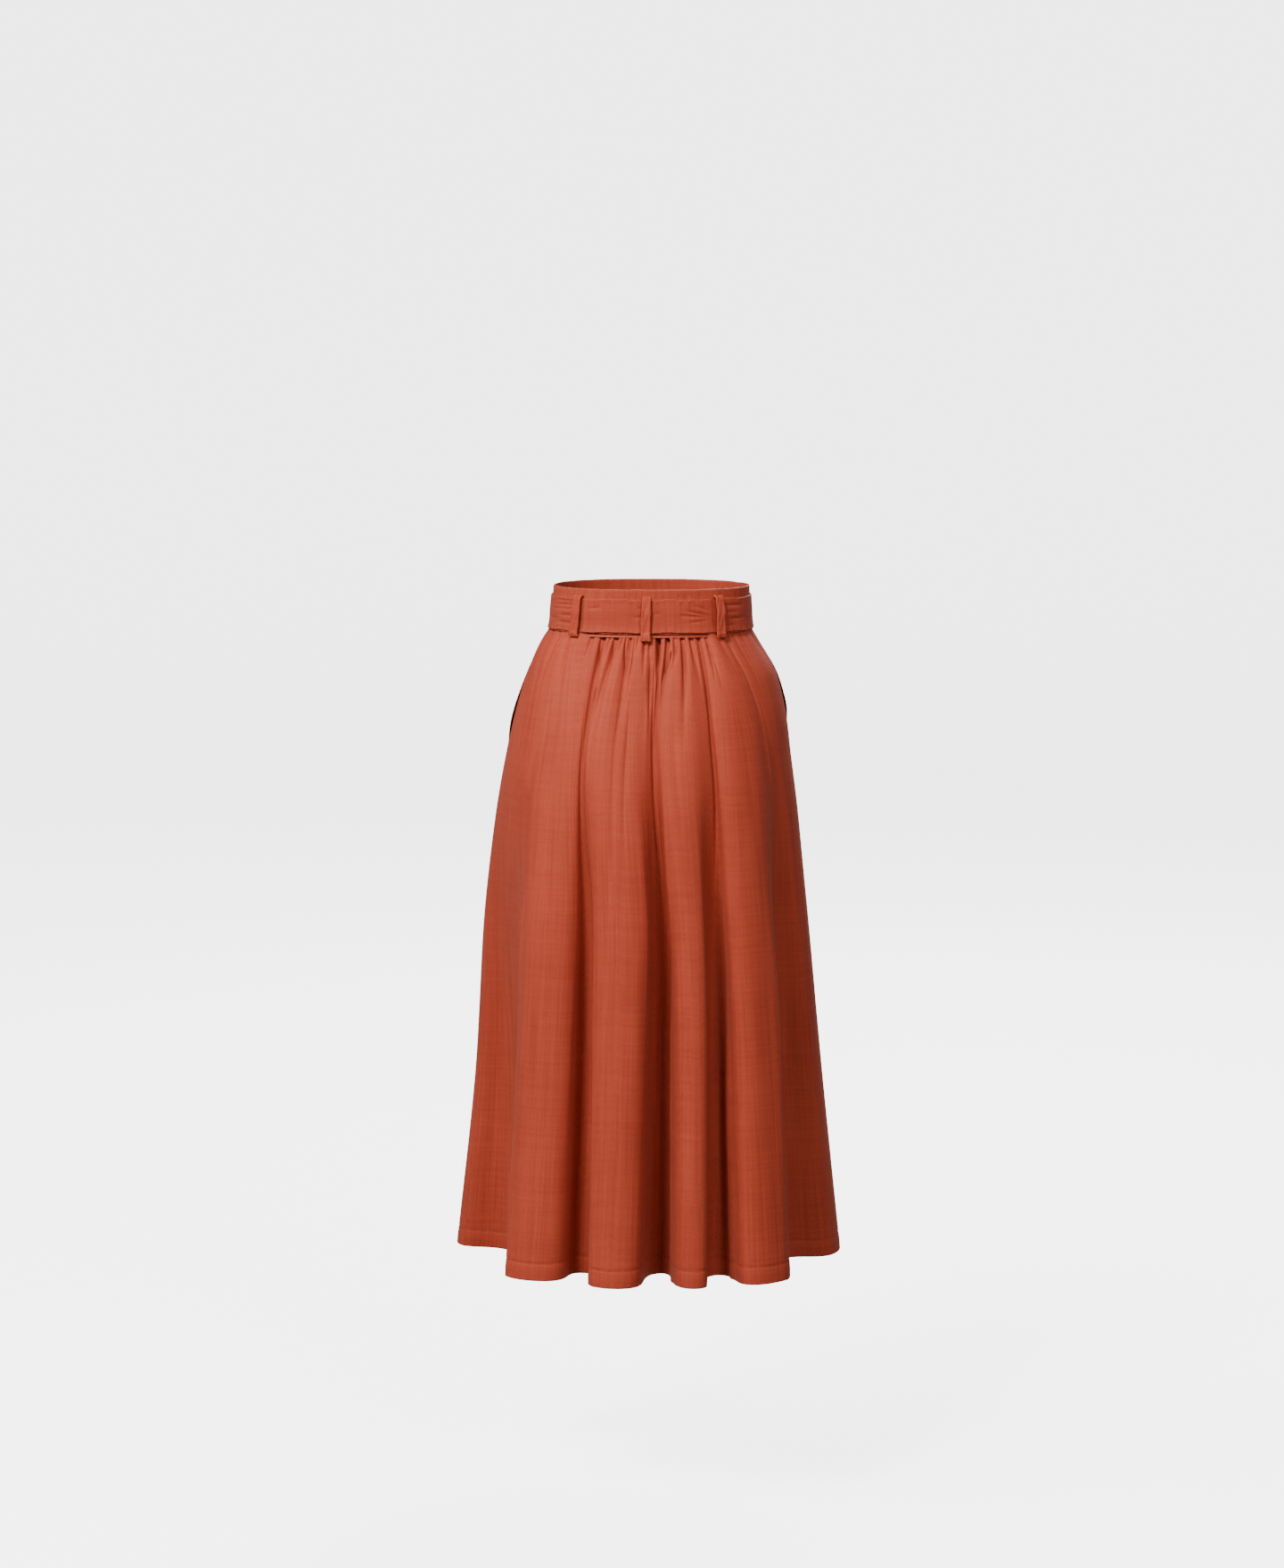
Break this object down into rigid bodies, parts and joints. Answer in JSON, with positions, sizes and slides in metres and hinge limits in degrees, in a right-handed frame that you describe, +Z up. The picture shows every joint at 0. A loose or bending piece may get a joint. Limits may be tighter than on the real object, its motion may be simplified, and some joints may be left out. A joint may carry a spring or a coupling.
{
  "type": "midi skirt",
  "caption": "Worn gathered midi skirt in rust satin, with a waistband, cloth belt in loops and side seam pockets, open at waist and hem.",
  "frame": {"origin": "centre of the waist ring, at the middle of the belt's width", "axes": "+Z up, +Y towards the front of the skirt, +X towards the wearer's right side"},
  "size_m": [0.4825, 0.4216, 0.834],
  "materials": {
    "satin": "rust red satin twill with a soft sheen",
    "pocket_cloth": "the same cloth, seen in shade"
  },
  "bodies": {
    "root": {"skirt_back": "satin", "skirt_front": "satin", "waistband_back": "satin", "waistband_front": "satin", "belt": "satin", "belt_loop_back_left": "satin", "belt_loop_back_centre": "satin", "belt_loop_back_right": "satin", "belt_loop_front_right": "satin", "belt_loop_front_left": "satin", "pocket_left": "pocket_cloth", "pocket_right": "pocket_cloth"}
  },
  "joints": []
}
